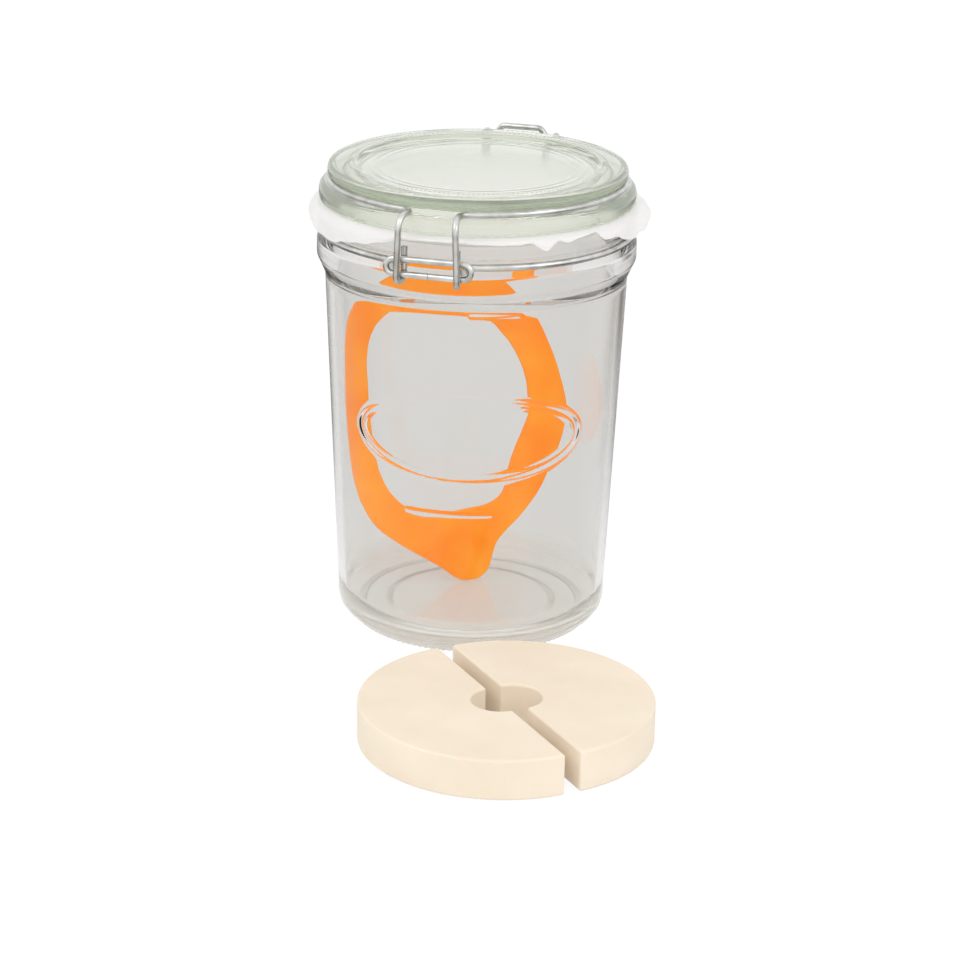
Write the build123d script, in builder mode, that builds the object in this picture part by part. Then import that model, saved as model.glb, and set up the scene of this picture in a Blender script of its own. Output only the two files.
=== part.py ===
from build123d import *
import os
from math import acos, asin, atan2, cos, degrees, hypot, pi, radians, sin, sqrt, tan

os.makedirs("parts", exist_ok=True)

# Clip-top glass jar of about one litre with its loose rubber ring inside, a thin
# white cover sheet across the mouth under the lid, and two half-round ceramic weights
# beside it.
# Millimetres. +Z is up, the origin is the middle of the jar's base, the latch faces
# -Y and the lid's hinge is at +Y.

# Jar body
mouth_r = 48.7           # bore of the mouth
rim_z = 154.2            # height of the flat rim
neck_wall = 7.1          # glass between the mouth and the collar
collar_r = mouth_r + neck_wall
rim_chamfer = 0.9        # sloped outer edge of the rim
rim_outer_r = collar_r - rim_chamfer
rim_round = 0.9          # roundings of the neck
collar_h = 6.8
collar_low_z = rim_z - collar_h
groove_depth = 2.3       # groove for the neck wire, under the collar
groove_r = collar_r - groove_depth
groove_drop = 2.8        # from the collar's lower edge to the groove's middle
neck_wire_z = collar_low_z - groove_drop
groove_half = 1.75       # half width of the groove's floor
bead_over = 0.4          # the bead stands out a little more than the collar
bead_r = collar_r + bead_over
bead_drop = 3.6          # from the groove's middle to the bead
bead_top_z = neck_wire_z - bead_drop
bead_h = 5.8
bead_low_z = bead_top_z - bead_h
shoulder_h = 6.6         # slope from the bead down into the body
shoulder_z = bead_low_z - shoulder_h
shoulder_in = 2.9
body_top_r = bead_r - shoulder_in
taper = 5.0              # the body narrows by this much to the heel
heel_r = body_top_r - taper
heel_z = 10.5            # height of the heel curve
foot_in = 4.7            # from the heel in to the ring that the jar stands on
foot_outer_r = heel_r - foot_in
foot_w = 5.0
foot_inner_r = foot_outer_r - foot_w
foot_round = 2.0         # corners of the foot ring, along the base
foot_rise = 0.5          # and upward
heel_bulge_share = 0.72  # how full the heel curve is, outward
heel_low_share = 0.3     # and how soon it turns up
heel_mid_r = foot_outer_r + heel_bulge_share * foot_in
heel_mid_z = foot_rise + heel_low_share * (heel_z - foot_rise)
pushup_in = 10.3
pushup_r = foot_inner_r - pushup_in
pushup_z = 2.4           # raised middle of the base
pushup_slope = 2.6
pushup_low = 0.6         # height of the base between the foot and the raised middle
wall = 2.8               # glass of the body
floor_z = 5.6            # inside floor
floor_corner = 7.5       # inside corner between floor and wall
corner_share = 1 - cos(radians(45))
neck_in_over = 4.0       # the mouth's bore starts this far above the shoulder
neck_in_z = shoulder_z + neck_in_over
neck_slope = 5.6         # height of the slope from the wall to the bore

# Cover sheet
sheet_t = 0.5
film_gap = 0.1           # slack over and under the sheet
tuck_play = 0.6          # from the lid's lower ring to the sheet that it tucks into the mouth
fold_share = 0.35        # how much of the folds' depth shows at the top of the skirt
# the skirt's hem: angle from the latch (degrees, + to +X), how far it stands out past
# the collar, and how far it hangs below the rim
hem_deg = [
    -172, -158, -148, -136, -124, -112, -100, -88, -76, -66, -57, -48, -40, -33, -24, -16, -9, 0, 9, 15,
    24, 33, 39, 44, 52, 60, 67, 76, 86, 96, 105, 114, 123, 132, 141, 149, 158, 172,
]
hem_out = [
    0.7, 0.7, 1.6, 2.8, 2.0, 3.1, 2.3, 3.2, 3.6, 2.7, 3.1, 2.3, 2.9, 2.2, 2.6, 2.2, 1.7, 1.7, 1.7, 2.1,
    2.4, 2.2, 3.0, 2.4, 3.1, 2.6, 4.0, 3.4, 4.8, 4.4, 5.2, 3.6, 4.2, 2.8, 3.0, 1.6, 0.7, 0.7,
]
hem_drop = [
    0.6, 0.6, 2.7, 4.6, 5.6, 6.6, 6.0, 6.8, 7.6, 7.3, 7.8, 7.9, 7.8, 6.0, 4.8, 2.6, 1.0, 0.9, 0.9,
    1.0, 1.2, 1.6, 2.6, 1.2, 1.0, 0.9, 3.6, 5.4, 6.8, 6.2, 5.4, 4.6, 5.2, 4.0, 3.2, 1.2, 0.6, 0.6,
]

# Lid
lid_seat_z = rim_z + sheet_t + 2 * film_gap
flange_in = 0.3
flange_r = collar_r - flange_in
flange_h = 5.9
flange_round = 2.4
slot_depth = 5.0         # groove of the lid that the lid wire lies in
lid_neck_r = flange_r - slot_depth
slot_h = 3.15
lid_rim_low_z = lid_seat_z + flange_h + slot_h
lid_rim_over = 2.0       # the rim stands out past the groove
lid_rim_r = lid_neck_r + lid_rim_over
lid_rim_h = 3.35
lid_top_z = lid_rim_low_z + lid_rim_h
lid_rim_round = 2.3
recess_in = 11.0         # from the rim in to the sunk middle of the lid's top
recess_r = lid_rim_r - recess_in
recess_depth = 1.5
recess_slope = 1.6
plate_t = 4.8            # glass of the lid's middle
lid_under_z = lid_top_z - recess_depth - plate_t
plug_play = 1.8          # ring under the lid that drops into the mouth
plug_r = mouth_r - plug_play
plug_wall = 4.4
plug_in_r = plug_r - plug_wall
plug_drop = 3.6
plug_round = 0.8
tuck_r = plug_r + tuck_play  # inside of the sheet where it is tucked into the mouth
tuck_z = lid_seat_z - plug_drop - tuck_play  # its upper face there

# Wires
wire_d = 2.2             # lid wire and latch link
neck_wire_d = 2.4
play = 0.25              # clearance between wires that turn on each other
hook_play = 0.3          # clearance round the link's bars
ring_rest = 0.1          # slack between the lid wire's ring and the lid's flange
lid_wire_z = lid_seat_z + flange_h + ring_rest + wire_d / 2
lid_ring_play = 0.4
lid_ring_r = lid_neck_r + lid_ring_play + wire_d / 2
neck_ring_play = 0.3
neck_ring_r = groove_r + neck_ring_play + neck_wire_d / 2

# hinge at the back
ear_x = 13.0             # middle of each ear of the neck wire
collar_gap = 0.5         # between the collar and the ears' inner limbs
ear_bend_r = wire_d / 2 + play + neck_wire_d / 2
ear_in_y = sqrt((collar_r + collar_gap + neck_wire_d / 2) ** 2 - ear_x**2)
hinge_y = ear_in_y + ear_bend_r
ear_out_y = hinge_y + ear_bend_r
ear_foot_bend = 3.0      # bends at the feet of the ears
ear_inner_bend = 2.4
notch_side = 4.5         # the skirt stops this far outside the ears
skirt_notch = ear_x + notch_side
notch_in = ear_in_y - sqrt(collar_r**2 - skirt_notch**2)
lid_leave_deg = 47.5     # from +Y, where the lid wire leaves its ring
pin_bend = 4.0
arch_in = 2.0            # the arch of the lid wire stands between the ears
arch_foot = ear_x - arch_in
arch_lean = 3.8          # its top is narrower than its feet
arch_half = arch_foot - arch_lean
arch_rise = 5.0
arch_z = lid_wire_z + arch_rise
arch_bend = 2.3

# latch at the front
link_out = 3.9           # the link hangs this far outside the collar
link_y = -(collar_r + link_out)
link_pitch = wire_d + neck_wire_d + 2 * hook_play
link_high_z = neck_wire_z + link_pitch / 2
link_low_z = neck_wire_z - link_pitch / 2
post_x = 12.1            # neck wire's ends stand out through the link's two eyes
post_reach = 0.85        # how far they stand out past the link's middle
eye_x = post_x + link_pitch / 2  # outer end of each eye, at the wire's middle
post_lead = 3.4          # straight lead from the neck ring to the ends
post_bend = 2.4
butt_gap = 0.15          # the link's ends meet in the middle of its lower bar
hook_r = wire_d + hook_play  # bend of each leg's hook round the lower bar
leg_y = link_y - hook_r
tail_y = link_y + hook_r
leg_in = 1.5             # the legs hang between the neck wire's ends
leg_foot_x = post_x - leg_in
leg_lean = 0.9           # they come closer together towards the top
leg_top_x = leg_foot_x - leg_lean
tail_in = 1.4            # each hook's tail turns inward
tail_x = leg_foot_x - tail_in
tail_h = 9.0
tail_top_z = link_low_z + tail_h
hook_bend = 0.99 * hook_r
leg_bend = 4.2
jog_in = 1.3             # where the lid wire leaves its ring in front
jog_x = leg_top_x - jog_in
jog_bend = 3.8
jog_lead = 3.9
split_drop = 5.2         # below this each leg is the springing hook end
leg_split_z = lid_wire_z - split_drop

# Rubber ring
seal_t = 3.0
seal_rest = 0.1          # between the tab's tip and the jar's floor
seal_turn_deg = 33.2     # its flat, from +X
seal_lean_deg = 4.5      # it leans back on the wall
seal_spare = 1.3
seal_size = mouth_r + seal_spare
# where its upright line meets the floor, x and y, and its outlines, along and up its
# own flat, all as shares of seal_size
seal_foot_share = (-0.215, 0.1632)
seal_outer_share = [
    (0.16, 0.002), (0.22, 0.006), (0.262, 0.03), (0.302, 0.074), (0.33, 0.16), (0.372, 0.274),
    (0.45, 0.362), (0.54, 0.444), (0.624, 0.534), (0.708, 0.648), (0.79, 0.8), (0.862, 0.96),
    (0.91, 1.12), (0.924, 1.26), (0.908, 1.38), (0.882, 1.49), (0.84, 1.62), (0.774, 1.78),
    (0.69, 1.95), (0.55, 2.14), (0.36, 2.3), (0.14, 2.394), (-0.08, 2.41), (-0.34, 2.366),
    (-0.6, 2.236), (-0.73, 2.08), (-0.77, 1.9), (-0.778, 1.72), (-0.778, 1.52), (-0.77, 1.32),
    (-0.756, 1.14), (-0.736, 0.96), (-0.696, 0.76), (-0.64, 0.612), (-0.56, 0.48), (-0.44, 0.372),
    (-0.28, 0.26), (-0.14, 0.168), (-0.034, 0.096), (0.04, 0.034), (0.1, 0.006),
]
seal_inner_share = [
    (-0.08, 0.528), (0.16, 0.544), (0.33, 0.572), (0.42, 0.64), (0.456, 0.772), (0.512, 0.94),
    (0.592, 1.12), (0.636, 1.24), (0.628, 1.36), (0.612, 1.49), (0.54, 1.68), (0.43, 1.86),
    (0.34, 1.99), (0.16, 2.096), (-0.08, 2.136), (-0.32, 2.116), (-0.48, 2.04), (-0.568, 1.93),
    (-0.608, 1.76), (-0.604, 1.56), (-0.596, 1.36), (-0.576, 1.16), (-0.552, 1.0), (-0.508, 0.85),
    (-0.416, 0.69), (-0.272, 0.572),
]

# Weights
disc_play = 2.0          # the weights go in through the mouth
disc_r = mouth_r - disc_play
disc_t = 14.0
disc_hole_r = 9.4
disc_gap = 5.4
disc_round = 0.9
disc_clear = 8.8         # they lie this far from the jar
disc_far = bead_r + disc_clear + disc_r
disc_side_deg = 21.925   # from -Y, round towards +X
disc_turn_deg = -47.9    # direction of the straight edges
disc_spot = Vector(sin(radians(disc_side_deg)), -cos(radians(disc_side_deg)), 0) * disc_far


# Jar body
with BuildPart() as jar_body:
    with BuildSketch(Plane.XZ):
        with BuildLine():
            Polyline(
                (0, pushup_z),
                (pushup_r, pushup_z),
                (pushup_r + pushup_slope, pushup_low),
                (foot_inner_r, foot_rise),
                (foot_inner_r + foot_round / 2, 0),
                (foot_outer_r - foot_round / 2, 0),
                (foot_outer_r, foot_rise),
            )
            ThreePointArc(
                (foot_outer_r, foot_rise),
                (heel_mid_r, heel_mid_z),
                (heel_r, heel_z),
            )
            Polyline(
                (heel_r, heel_z),
                (body_top_r, shoulder_z),
                (bead_r, bead_low_z),
                (bead_r, bead_top_z),
                (groove_r, neck_wire_z - groove_half),
                (groove_r, neck_wire_z + groove_half),
                (collar_r, collar_low_z),
                (collar_r, rim_z - (collar_r - rim_outer_r)),
                (rim_outer_r, rim_z),
                (mouth_r + rim_round, rim_z),
                (mouth_r, rim_z - rim_round),
                (mouth_r, neck_in_z),
                (body_top_r - wall, neck_in_z - neck_slope),
                (heel_r - wall, floor_z + floor_corner),
            )
            ThreePointArc(
                (heel_r - wall, floor_z + floor_corner),
                (heel_r - wall - floor_corner * corner_share, floor_z + floor_corner * corner_share),
                (heel_r - wall - floor_corner, floor_z),
            )
            Polyline((heel_r - wall - floor_corner, floor_z), (0, floor_z), (0, pushup_z))
        make_face()
    revolve(axis=Axis.Z)
    around = jar_body.edges().filter_by(GeomType.CIRCLE)
    fillet([e for e in around if abs(e.radius - bead_r) < film_gap], 1.5 * rim_round)
    around = jar_body.edges().filter_by(GeomType.CIRCLE)
    outside = [e for e in around if abs(e.radius - body_top_r) < film_gap]
    fillet([e for e in outside if abs(e.center().Z - shoulder_z) < rim_round], 2 * wall)
    around = jar_body.edges().filter_by(GeomType.CIRCLE)
    fillet([e for e in around if abs(e.radius - collar_r) < film_gap], rim_round / 2)
jar_body.part.label = "jar_body"
export_step(jar_body.part, "parts/jar_body.step")

# Lid
with BuildPart() as lid:
    with BuildSketch(Plane.XZ):
        with BuildLine():
            Polyline(
                (0, lid_under_z),
                (plug_in_r - plug_round, lid_under_z),
                (plug_in_r, lid_seat_z - plug_drop + plug_round),
                (plug_in_r + plug_round, lid_seat_z - plug_drop),
                (plug_r - plug_round, lid_seat_z - plug_drop),
                (plug_r, lid_seat_z - plug_drop + plug_round),
                (plug_r, lid_seat_z),
                (flange_r, lid_seat_z),
                (flange_r, lid_seat_z + flange_h),
                (lid_neck_r, lid_seat_z + flange_h),
                (lid_neck_r, lid_rim_low_z),
                (lid_rim_r, lid_rim_low_z),
                (lid_rim_r, lid_top_z),
                (recess_r + recess_slope, lid_top_z),
                (recess_r, lid_top_z - recess_depth),
                (0, lid_top_z - recess_depth),
                (0, lid_under_z),
            )
        make_face()
    revolve(axis=Axis.Z)
    around = lid.edges().filter_by(GeomType.CIRCLE)
    flange_edges = [e for e in around if abs(e.radius - flange_r) < film_gap]
    fillet([e for e in flange_edges if e.center().Z > lid_seat_z + film_gap], flange_round)
    fillet([e for e in flange_edges if e.center().Z < lid_seat_z + film_gap], plug_round)
    around = lid.edges().filter_by(GeomType.CIRCLE)
    rim_edges = [e for e in around if abs(e.radius - lid_rim_r) < film_gap]
    fillet([e for e in rim_edges if e.center().Z > lid_rim_low_z + lid_rim_round], lid_rim_round)
lid.part.label = "lid"
export_step(lid.part, "parts/lid.step")


# Wires
def on_ring(radius, angle_deg, z):
    """A point of a level ring, with the angle from +X."""
    return Vector(radius * cos(radians(angle_deg)), radius * sin(radians(angle_deg)), z)


def heading(angle_deg):
    """The way that a level ring runs clockwise, seen from above, at an angle from +X."""
    return Vector(sin(radians(angle_deg)), -cos(radians(angle_deg)), 0)


def mirrored(points):
    """The mirror images of points of the left half, in the opposite order."""
    return [Vector(-p.X, p.Y, p.Z) for p in points][::-1]


# Lid wire: ring, hinge pins and arch at the back, two legs in front
lid_front_deg = 270 - degrees(asin((jog_x + jog_lead) / lid_ring_r))
lid_back_deg = 90 + lid_leave_deg
ring_start = on_ring(lid_ring_r, lid_front_deg, lid_wire_z)
jog = ring_start - heading(lid_front_deg) * (jog_lead / cos(radians(270 - lid_front_deg)))
ring_leave = on_ring(lid_ring_r, lid_back_deg, lid_wire_z)
pin_out = ring_leave + heading(lid_back_deg) * ((hinge_y - ring_leave.Y) / heading(lid_back_deg).Y)
leg_top = Vector(-leg_top_x, leg_y, lid_wire_z)
leg_foot = Vector(-leg_foot_x, leg_y, link_low_z)
leg_cut = leg_top + (leg_foot - leg_top) * ((lid_wire_z - leg_split_z) / (lid_wire_z - link_low_z))
front_half = [leg_cut, leg_top, jog, ring_start]
front_bends = [leg_bend, jog_bend]
back_left = [
    ring_leave,
    pin_out,
    Vector(-arch_foot, hinge_y, lid_wire_z),
    Vector(-arch_half, hinge_y, arch_z),
]
back_bends = [pin_bend, arch_bend, arch_bend]

with BuildPart() as lid_wire:
    with BuildLine() as lid_path:
        FilletPolyline(*front_half, radius=front_bends)
        CenterArc((0, 0, lid_wire_z), lid_ring_r, lid_front_deg, lid_back_deg - lid_front_deg)
        FilletPolyline(*back_left, *mirrored(back_left), radius=back_bends + back_bends[::-1])
        CenterArc((0, 0, lid_wire_z), lid_ring_r, 180 - lid_back_deg, lid_back_deg - lid_front_deg)
        FilletPolyline(*mirrored(front_half), radius=front_bends[::-1])
    with BuildSketch(Plane(origin=leg_cut, z_dir=leg_top - leg_cut)):
        Circle(wire_d / 2)
    sweep(path=lid_path.wires()[0])
lid_wire.part.label = "lid_wire"
export_step(lid_wire.part, "parts/lid_wire.step")

# The springing lower ends of the legs, hooked round the link's lower bar
for name, side in (("hook_left", 1), ("hook_right", -1)):
    top = Vector(side * leg_cut.X, leg_cut.Y, leg_cut.Z)
    foot = Vector(side * leg_foot.X, leg_foot.Y, link_low_z - hook_r)
    tail = Vector(-side * tail_x, tail_y, link_low_z - hook_r)
    tail_end = Vector(-side * tail_x, tail_y, tail_top_z)
    with BuildPart() as hook:
        with BuildLine() as hook_path:
            FilletPolyline(top, foot, tail, tail_end, radius=hook_bend)
        with BuildSketch(Plane(origin=top, z_dir=foot - top)):
            Circle(wire_d / 2)
        sweep(path=hook_path.wires()[0])
    hook.part.label = name
    export_step(hook.part, f"parts/{name}.step")

# Neck wire: ring in the jar's groove, two ears at the back, two ends in front
neck_far = hypot(ear_x, ear_out_y)
neck_back_deg = 90 + degrees(atan2(ear_x, ear_out_y)) + degrees(acos(neck_ring_r / neck_far))
neck_front_deg = 270 - degrees(asin((post_x + post_lead) / neck_ring_r))
neck_start = on_ring(neck_ring_r, neck_front_deg, neck_wire_z)
neck_jog = neck_start - heading(neck_front_deg) * (post_lead / cos(radians(270 - neck_front_deg)))
post_end = Vector(-post_x, link_y - post_reach, neck_wire_z)
neck_half = [post_end, Vector(-post_x, neck_jog.Y, neck_wire_z), neck_start]
ear_top_z = lid_wire_z + ear_bend_r
ear_half = [
    on_ring(neck_ring_r, neck_back_deg, neck_wire_z),
    Vector(-ear_x, ear_out_y, neck_wire_z),
    Vector(-ear_x, ear_out_y, ear_top_z),
    Vector(-ear_x, ear_in_y, ear_top_z),
    Vector(-ear_x, ear_in_y, neck_wire_z),
]
loop_bend = 0.99 * ear_bend_r
ear_bends = [ear_foot_bend, loop_bend, loop_bend, ear_inner_bend]

with BuildPart() as neck_wire:
    with BuildLine() as neck_path:
        FilletPolyline(*neck_half, radius=post_bend)
        CenterArc((0, 0, neck_wire_z), neck_ring_r, neck_front_deg, neck_back_deg - neck_front_deg)
        FilletPolyline(*ear_half, *mirrored(ear_half), radius=ear_bends + ear_bends[::-1])
        CenterArc((0, 0, neck_wire_z), neck_ring_r, 180 - neck_back_deg, neck_back_deg - neck_front_deg)
        FilletPolyline(*mirrored(neck_half), radius=post_bend)
    with BuildSketch(Plane(origin=neck_half[0], z_dir=(0, 1, 0))):
        Circle(neck_wire_d / 2)
    sweep(path=neck_path.wires()[0])
neck_wire.part.label = "neck_wire"
export_step(neck_wire.part, "parts/neck_wire.step")

# Latch link: an oblong of wire whose ends meet in the middle of its lower bar
with BuildPart() as latch_link:
    with BuildLine() as link_path:
        Line((butt_gap / 2, link_y, link_low_z), (post_x, link_y, link_low_z))
        ThreePointArc((post_x, link_y, link_low_z), (eye_x, link_y, neck_wire_z), (post_x, link_y, link_high_z))
        Line((post_x, link_y, link_high_z), (-post_x, link_y, link_high_z))
        ThreePointArc((-post_x, link_y, link_high_z), (-eye_x, link_y, neck_wire_z), (-post_x, link_y, link_low_z))
        Line((-post_x, link_y, link_low_z), (-butt_gap / 2, link_y, link_low_z))
    with BuildSketch(Plane(origin=(butt_gap / 2, link_y, link_low_z), z_dir=(1, 0, 0))):
        Circle(wire_d / 2)
    sweep(path=link_path.wires()[0])
latch_link.part.label = "latch_link"
export_step(latch_link.part, "parts/latch_link.step")

# Rubber ring
lean = radians(seal_lean_deg)
turn = radians(seal_turn_deg)
seal_along = Vector(cos(turn), sin(turn), 0)
seal_back = Vector(-sin(turn), cos(turn), 0)
seal_up = seal_back * sin(lean) + Vector(0, 0, 1) * cos(lean)
# the tab's tip stands on the jar's floor: the lean tips one edge of its thickness down
seal_foot = [seal_size * share for share in seal_foot_share]
seal_outer = [(seal_size * p[0], seal_size * p[1]) for p in seal_outer_share]
seal_inner = [(seal_size * p[0], seal_size * p[1]) for p in seal_inner_share]
seal_origin = Vector(seal_foot[0], seal_foot[1], floor_z + seal_rest + seal_t / 2 * sin(lean))
seal_plane = Plane(origin=seal_origin, x_dir=seal_along, z_dir=seal_along.cross(seal_up))

with BuildPart() as gasket:
    with BuildSketch(seal_plane):
        with BuildLine():
            Spline(*seal_outer, periodic=True)
        make_face()
        with BuildLine():
            Spline(*seal_inner, periodic=True)
        make_face(mode=Mode.SUBTRACT)
    extrude(amount=seal_t / 2, both=True)
gasket.part.label = "gasket"
export_step(gasket.part, "parts/gasket.step")

# Cover sheet
def ring_points(radii):
    """One point of a level outline at each of the hem's angles."""
    return [(r * sin(radians(deg)), -r * cos(radians(deg))) for r, deg in zip(radii, hem_deg)]


sheet_mid_z = rim_z + film_gap + sheet_t
sheet_low_z = rim_z - max(hem_drop) - sheet_t
skirt_top_r = collar_r + sheet_t + 2 * film_gap
low_out = [collar_r + out for out in hem_out]
top_out = [skirt_top_r + fold_share * (r - skirt_top_r) for r in low_out]

with BuildPart() as cover_sheet:
    # folded skirt between a nearly round top and the wavy outline at the hem's depth
    for inset, way in ((0, Mode.ADD), (sheet_t, Mode.SUBTRACT)):
        for height, radii in ((sheet_mid_z, top_out), (sheet_low_z, low_out)):
            with BuildSketch(Plane.XY.offset(height)):
                with BuildLine():
                    Spline(*ring_points([r - inset for r in radii]), periodic=True)
                make_face()
        loft(ruled=True, mode=way)
    # hem: what hangs below it is cut away, sector by sector
    for k in range(len(hem_deg)):
        low_deg, high_deg = hem_deg[k - 1], hem_deg[k]
        if k == 0:
            low_deg -= 360
        mid, half = radians((low_deg + high_deg) / 2), radians((high_deg - low_deg) / 2)
        out = Vector(sin(mid), -cos(mid), 0)
        across = Vector(cos(mid), sin(mid), 0)
        for reach in (mouth_r + rim_round, 2 * mouth_r):
            wide = reach * tan(half)
            with BuildSketch(Plane(origin=out * reach, x_dir=across, z_dir=out)):
                with BuildLine():
                    Polyline(
                        (-wide, sheet_low_z - sheet_t),
                        (wide, sheet_low_z - sheet_t),
                        (wide, rim_z - hem_drop[k]),
                        (-wide, rim_z - hem_drop[k - 1]),
                        (-wide, sheet_low_z - sheet_t),
                    )
                make_face()
        loft(ruled=True, mode=Mode.SUBTRACT)
    # the skirt leaves the ears of the neck wire free
    with Locations((0, ear_in_y, sheet_mid_z)):
        Box(2 * skirt_notch, 2 * skirt_notch, 4 * max(hem_drop), mode=Mode.SUBTRACT)
    # the part gripped between lid and rim
    with BuildSketch(Plane.XY.offset(rim_z + film_gap)):
        Circle(skirt_top_r)
        Circle(tuck_r, mode=Mode.SUBTRACT)
        with Locations((0, ear_in_y)):
            Rectangle(2 * skirt_notch, 2 * notch_in, mode=Mode.SUBTRACT)
    extrude(amount=sheet_t)
cover_sheet.part.label = "cover_sheet"
export_step(cover_sheet.part, "parts/cover_sheet.step")

# The sheet's middle hangs into the mouth under the lid's lower ring: a wall, then a flat.
# Both are nodes of their own, so that their collision leaves the mouth of the dish open.
with BuildPart() as sheet_wall:
    with BuildSketch(Plane.XY.offset(tuck_z)):
        Circle(tuck_r + sheet_t)
        Circle(tuck_r, mode=Mode.SUBTRACT)
    extrude(amount=rim_z + film_gap - tuck_z)
sheet_wall.part.label = "sheet_wall"
export_step(sheet_wall.part, "parts/sheet_wall.step")

with BuildPart() as sheet_middle:
    with BuildSketch(Plane.XY.offset(tuck_z)):
        Circle(tuck_r + sheet_t)
    extrude(amount=-sheet_t)
sheet_middle.part.label = "sheet_middle"
export_step(sheet_middle.part, "parts/sheet_middle.step")

# Weights
disc_along = Vector(cos(radians(disc_turn_deg)), sin(radians(disc_turn_deg)), 0)
disc_across = Vector(-disc_along.Y, disc_along.X, 0)
for name, side in (("weight_right", 1), ("weight_left", -1)):
    spot = disc_spot + disc_across * (side * disc_gap / 2)
    with BuildPart() as weight:
        with BuildSketch(Plane(origin=spot, x_dir=disc_along, z_dir=(0, 0, 1))):
            Circle(disc_r)
            Circle(disc_hole_r, mode=Mode.SUBTRACT)
            with Locations((0, -side * disc_r)):
                Rectangle(3 * disc_r, 2 * disc_r, mode=Mode.SUBTRACT)
        extrude(amount=disc_t)
        fillet(weight.edges(), disc_round)
    weight.part.label = name
    export_step(weight.part, f"parts/{name}.step")
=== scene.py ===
# %% [markdown]
# # A clip-top jar, its rubber ring and two ceramic weights
# The jar is moulded glass, held shut by sprung wire. It is a good lesson in glass:
# clear things are drawn by what they bend and mirror, so their shapes have to be
# smooth and closed, and the room around them matters as much as the glass.

# %% [markdown]
# ## The frame
# The construction comes first and fixes every size. It is loaded here.

# %% Load the construction
import math

import bmesh
import bpy
import numpy as np
from mathutils import Matrix, Vector


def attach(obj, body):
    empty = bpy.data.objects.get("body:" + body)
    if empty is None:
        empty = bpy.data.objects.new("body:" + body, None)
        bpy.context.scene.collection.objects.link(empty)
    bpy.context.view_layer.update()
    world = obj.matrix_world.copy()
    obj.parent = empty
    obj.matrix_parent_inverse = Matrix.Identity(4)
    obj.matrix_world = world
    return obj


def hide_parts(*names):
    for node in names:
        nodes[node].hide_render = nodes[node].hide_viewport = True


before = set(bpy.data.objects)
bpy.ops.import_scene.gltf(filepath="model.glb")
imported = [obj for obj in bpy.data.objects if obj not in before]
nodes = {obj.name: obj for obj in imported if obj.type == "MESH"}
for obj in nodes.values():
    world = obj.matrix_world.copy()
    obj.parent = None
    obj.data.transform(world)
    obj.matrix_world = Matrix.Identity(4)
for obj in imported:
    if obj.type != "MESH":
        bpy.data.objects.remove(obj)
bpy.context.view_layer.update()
MM = 0.001
print("nodes:", sorted(nodes))

# %% [markdown]
# ## The camera
# A long lens from a metre away, a little above the lid and 15.5 degrees round from the
# latch. The picture's middle isn't on the jar, so the lens is shifted and not the jar.

# %% Camera
PICTURE = (970, 971)
FOCAL_PX = 2887.5
PRINCIPAL = (474.04, 399.4)
EYE = Vector((262.2, -945.3, 408.6)) * MM
AIM = Vector((0.0, 0.0, 80.0)) * MM
ROLL = math.radians(1.03)
SENSOR = 36.0
FARTHEST = 20.0

ahead = (AIM - EYE).normalized()
level = ahead.cross(Vector((0, 0, 1))).normalized()
upward = level.cross(ahead)
right = level * math.cos(ROLL) + upward * math.sin(ROLL)
top = upward * math.cos(ROLL) - level * math.sin(ROLL)
lens = bpy.data.cameras.new("camera")
lens.sensor_fit = "HORIZONTAL"
lens.sensor_width = SENSOR
lens.lens = FOCAL_PX / PICTURE[0] * SENSOR
lens.shift_x = (PICTURE[0] / 2 - PRINCIPAL[0]) / PICTURE[0]
lens.shift_y = (PRINCIPAL[1] - PICTURE[1] / 2) / PICTURE[0]
lens.clip_end = FARTHEST
camera = bpy.data.objects.new("camera", lens)
turn = Matrix((right, top, -ahead)).transposed().to_4x4()
camera.matrix_world = Matrix.Translation(EYE) @ turn
bpy.context.scene.collection.objects.link(camera)
bpy.context.scene.camera = camera
print("lens", round(lens.lens, 1), "mm")

# %% [markdown]
# ## Colours and node helpers
# Colours are written as they look on screen, in hex, and one function makes them
# linear. One more function adds any shader or geometry node with its settings and links.

# %% Helpers for materials
WHITE = (1.0, 1.0, 1.0, 1.0)


def hex_linear(code):
    """The linear colour for a screen colour such as #F97A0A."""
    parts = [int(code[i : i + 2], 16) / 255 for i in (1, 3, 5)]
    return tuple(p / 12.92 if p <= 0.04045 else ((p + 0.055) / 1.055) ** 2.4 for p in parts) + (1.0,)


def new_material(name):
    """An empty node material and its tree."""
    material = bpy.data.materials.new(name)
    material.use_nodes = True
    material.node_tree.nodes.clear()
    return material, material.node_tree


def add_node(tree, kind, settings=None, **links):
    """Adds a node. settings go to its properties or sockets, and links name what feeds each socket.

    A link's name is the socket's, with _ for a space, or i and the socket's number. What feeds it is
    a socket, or a node whose first output is taken.
    """
    node = tree.nodes.new(kind)
    for key, value in (settings or {}).items():
        if isinstance(key, str) and hasattr(node, key):
            setattr(node, key, value)
        else:
            node.inputs[key].default_value = value
    for key, source in links.items():
        numbered = key[0] == "i" and key[1:].isdigit()
        socket = node.inputs[int(key[1:]) if numbered else key.replace("_", " ")]
        tree.links.new(source.outputs[0] if hasattr(source, "outputs") else source, socket)
    return node


def set_tones(ramp, stops):
    """Gives a colour ramp its places and linear colours."""
    elements = ramp.color_ramp.elements
    while len(elements) < len(stops):
        elements.new(0.5)
    for element, (place, colour) in zip(elements, stops):
        element.position = place
        element.color = colour


def paint(obj, material):
    """Gives a piece one material."""
    obj.data.materials.clear()
    obj.data.materials.append(material)
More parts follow.
